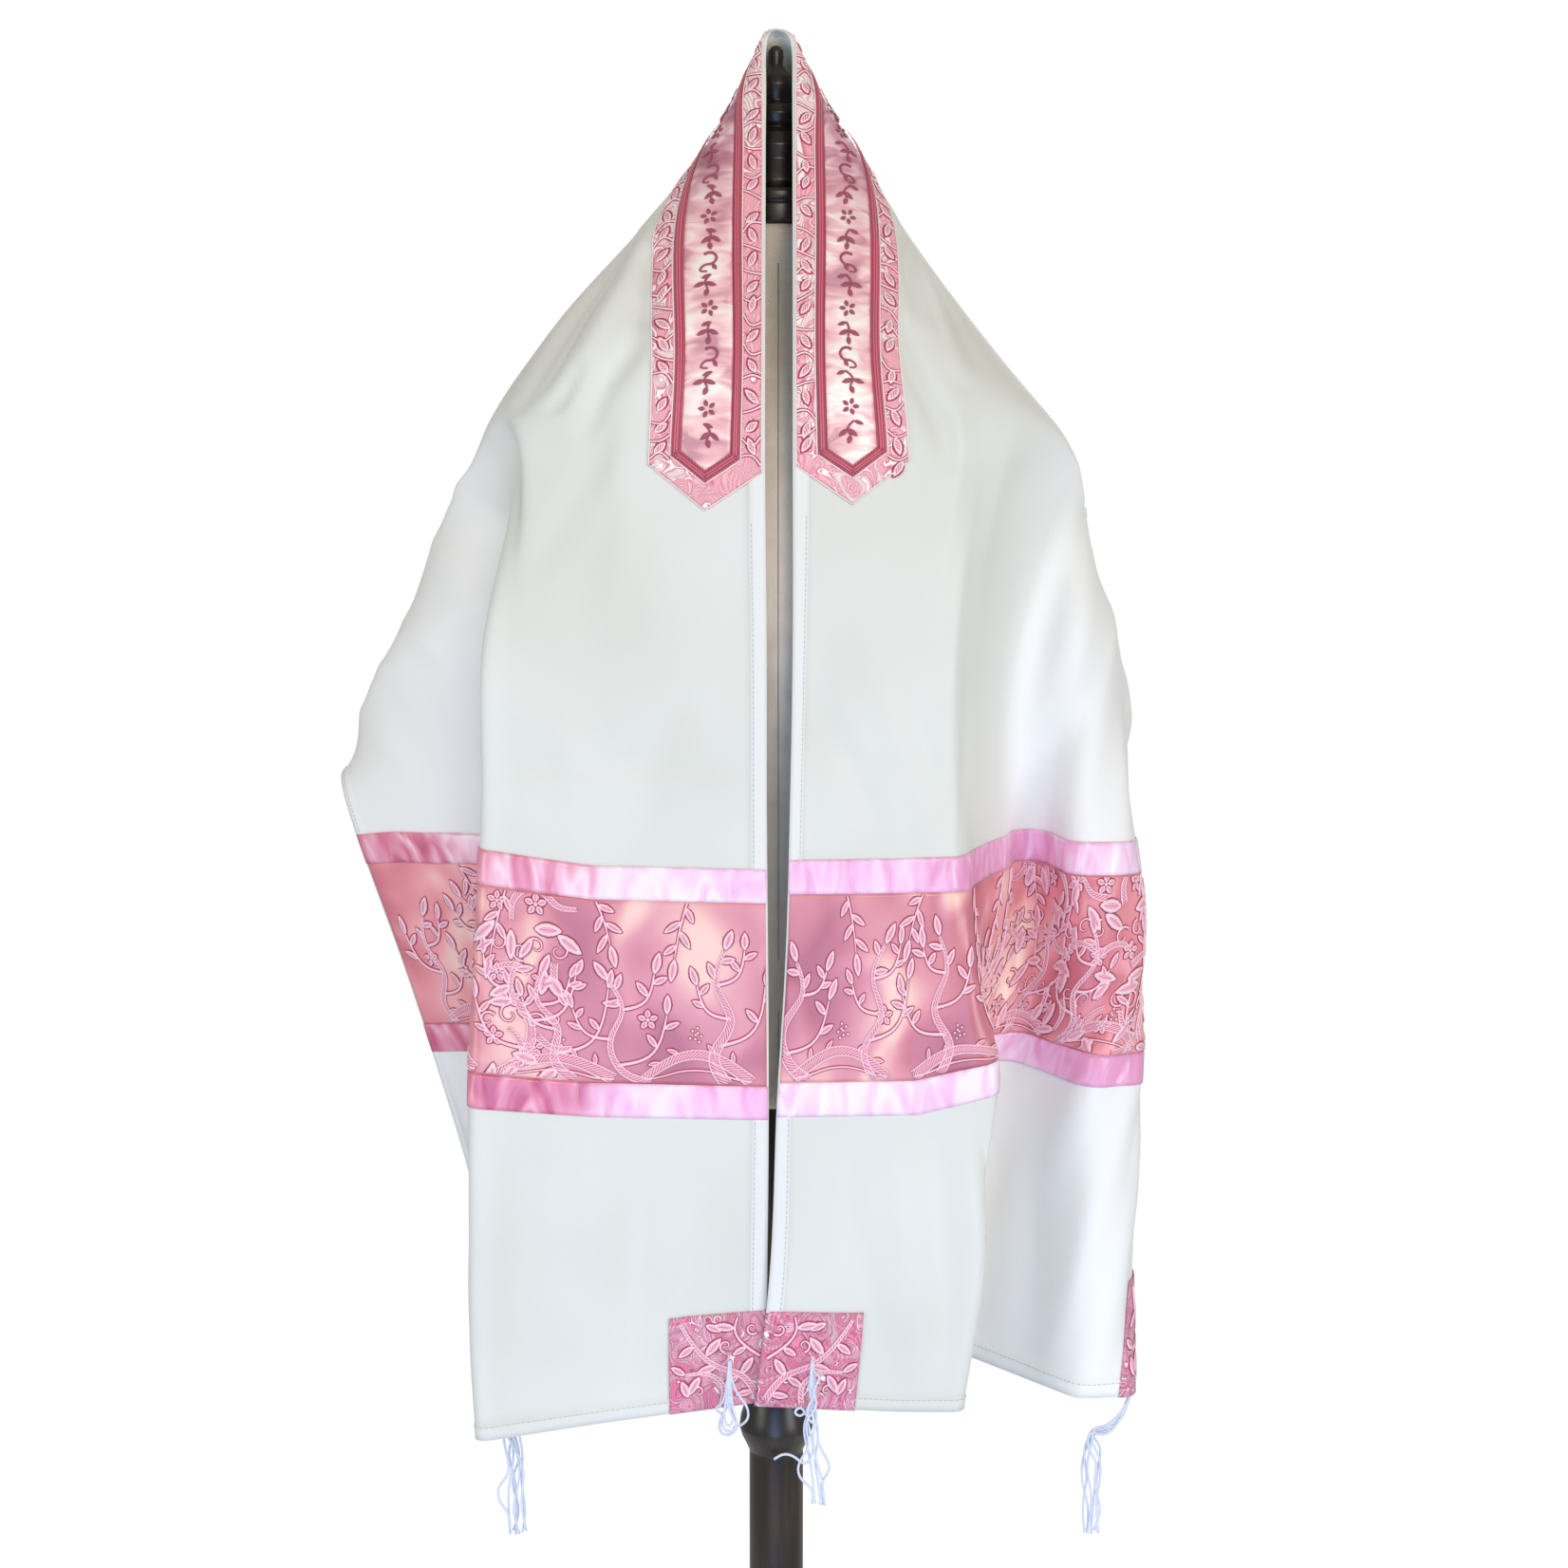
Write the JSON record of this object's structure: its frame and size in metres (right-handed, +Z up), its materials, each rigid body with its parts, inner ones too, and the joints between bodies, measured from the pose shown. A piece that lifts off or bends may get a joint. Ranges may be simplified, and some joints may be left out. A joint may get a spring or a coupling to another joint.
{
  "type": "tallit prayer shawl on a limbless dress form",
  "caption": "Long rectangular prayer shawl with banded ends, neckband and corner tassels, draped from the peak of a headless, limbless dress form on a turned pole.",
  "frame": {"origin": "on the floor, at the centre of the base's underside, under the pole's axis", "axes": "+Z up along the pole, the shawl's open front towards -Y, the wearer's left hand side towards +X"},
  "size_m": [0.613, 0.3896, 1.5996],
  "materials": {
    "cloth": "matt ivory woven silk",
    "pink_ribbon": "glossy pink satin ribbon",
    "rose_satin": "dusty rose satin with lighter embroidered vines",
    "brocade": "woven brocade, pink leaves on pale grey",
    "piping": "dark rose braid",
    "insert": "pale pink satin",
    "cord": "white spun thread",
    "linen": "stretched grey-ivory linen",
    "dark_wood": "polished near-black turned wood"
  },
  "bodies": {
    "root": {"cloth_body": "cloth", "ribbon_upper_left": "pink_ribbon", "band_left": "rose_satin", "ribbon_lower_left": "pink_ribbon", "ribbon_upper_right": "pink_ribbon", "band_right": "rose_satin", "ribbon_lower_right": "pink_ribbon", "corner_front_left": "brocade", "corner_outer_left": "brocade", "corner_front_right": "brocade", "corner_outer_right": "brocade", "atara_band": "brocade", "atara_piping": "piping", "atara_insert": "insert", "tzitzit_front_left": "cord", "tzitzit_outer_left": "cord", "tzitzit_front_right": "cord", "tzitzit_outer_right": "cord", "form_torso": "linen", "form_finial": "dark_wood", "form_neck_cap": "dark_wood", "form_pole": "dark_wood", "form_base": "dark_wood"}
  },
  "joints": []
}
